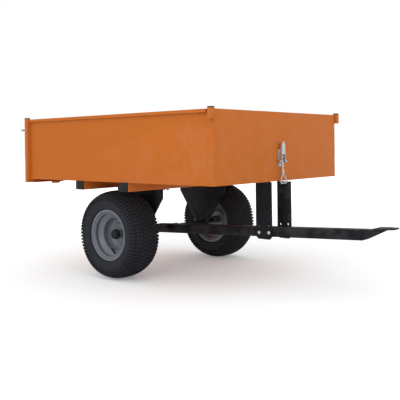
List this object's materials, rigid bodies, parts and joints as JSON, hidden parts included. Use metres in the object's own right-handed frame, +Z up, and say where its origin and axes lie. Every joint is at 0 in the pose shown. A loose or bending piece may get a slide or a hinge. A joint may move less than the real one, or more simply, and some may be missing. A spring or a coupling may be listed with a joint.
{
  "type": "tow behind cart",
  "caption": "Orange steel tipping tray on two pneumatic wheels, with a sloping drawbar, flat hitch plate, front toggle latch and drop-down tailgate.",
  "frame": {"origin": "centre of the whole cart's box, on the ground that the tyres stand on", "axes": "+X towards the hitch, +Y to the cart's left, +Z up"},
  "size_m": [1.754, 1.018, 0.7539],
  "materials": {
    "orange_paint": "semi-gloss orange powder coat",
    "black_paint": "satin black powder coat",
    "zinc": "bright zinc plate",
    "rim_paint": "satin silver grey paint",
    "tyre_rubber": "dull moulded rubber",
    "black_plastic": "fine-grained moulding",
    "soft_rubber": "matt",
    "bronze": "sintered"
  },
  "bodies": {
    "chassis": {"drawbar": "black_paint", "pivot_sleeve": "black_paint", "axle": "black_paint", "axle_spacers": "black_paint", "axle_washers": "zinc", "cotter_pins": "zinc", "hitch_plate": "black_paint", "support_post": "black_paint", "latch_post": "black_paint", "post_bolts": "zinc", "post_nuts": "zinc", "rest_pad": "soft_rubber", "keeper_hook": "black_paint"},
    "tray": {"tray_floor": "orange_paint", "front_panel": "orange_paint", "side_panel_near": "orange_paint", "side_panel_far": "orange_paint", "rear_sill": "orange_paint", "cross_beam_front": "orange_paint", "cross_beam_rear": "orange_paint", "beam_plugs": "black_plastic", "bracket_near": "black_paint", "bracket_far": "black_paint", "bracket_bushes": "black_plastic", "bracket_bolts": "zinc", "corner_sockets": "orange_paint", "rear_post_near": "orange_paint", "rear_post_far": "orange_paint", "tube_plugs": "black_plastic", "plunger_guides": "zinc", "hinge_fixed_knuckles": "orange_paint", "hinge_pins": "zinc", "latch_base": "zinc", "latch_rivets": "zinc", "lever_pivots": "zinc"},
    "tailgate": {"tailgate_panel": "orange_paint", "hinge_straps": "orange_paint", "strap_bolts": "zinc"},
    "plunger_near": {"plunger_near": "zinc"},
    "plunger_far": {"plunger_far": "zinc"},
    "latch_lever": {"latch_lever": "zinc", "bail_swivel_pin": "zinc"},
    "latch_bail": {"bail_rod": "zinc", "bail_nuts": "zinc", "bail_loop": "zinc"},
    "wheel_near": {"tyre_near": "tyre_rubber", "rim_near": "rim_paint", "hub_near": "rim_paint", "hub_bushes_near": "bronze", "hub_cap_near": "black_plastic", "valve_near": "soft_rubber"},
    "wheel_far": {"tyre_far": "tyre_rubber", "rim_far": "rim_paint", "hub_far": "rim_paint", "hub_bushes_far": "bronze", "hub_cap_far": "black_plastic", "valve_far": "soft_rubber"}
  },
  "joints": [
    {"name": "tray_tip", "type": "hinge", "parent": "chassis", "child": "tray", "pos_m": [-0.31, 0, 0.201], "axis": [0, -1, 0], "range_deg": [0, 38]},
    {"name": "wheel_near_spin", "type": "hinge", "parent": "chassis", "child": "wheel_near", "pos_m": [-0.31, -0.36, 0.201], "axis": [0, 1, 0], "continuous": true},
    {"name": "wheel_far_spin", "type": "hinge", "parent": "chassis", "child": "wheel_far", "pos_m": [-0.31, 0.36, 0.201], "axis": [0, 1, 0], "continuous": true},
    {"name": "tailgate_drop", "type": "hinge", "parent": "tray", "child": "tailgate", "pos_m": [-0.863, 0, 0.423], "axis": [0, -1, 0], "range_deg": [0, 175]},
    {"name": "plunger_near_slide", "type": "slide", "parent": "tray", "child": "plunger_near", "axis": [0, 1, 0], "range_m": [0, 0.014]},
    {"name": "plunger_far_slide", "type": "slide", "parent": "tray", "child": "plunger_far", "axis": [0, -1, 0], "range_m": [0, 0.014]},
    {"name": "latch_lever_swing", "type": "hinge", "parent": "tray", "child": "latch_lever", "pos_m": [0.37, -0.016, 0.532], "axis": [0, 1, 0], "range_deg": [0, 115]},
    {"name": "latch_bail_swing", "type": "hinge", "parent": "latch_lever", "child": "latch_bail", "pos_m": [0.3645, -0.016, 0.552], "axis": [0, 1, 0], "range_deg": [-115, 0]}
  ],
  "couplings": [
    {"joint": "latch_bail_swing", "follows": "latch_lever_swing", "ratio": -1}
  ]
}
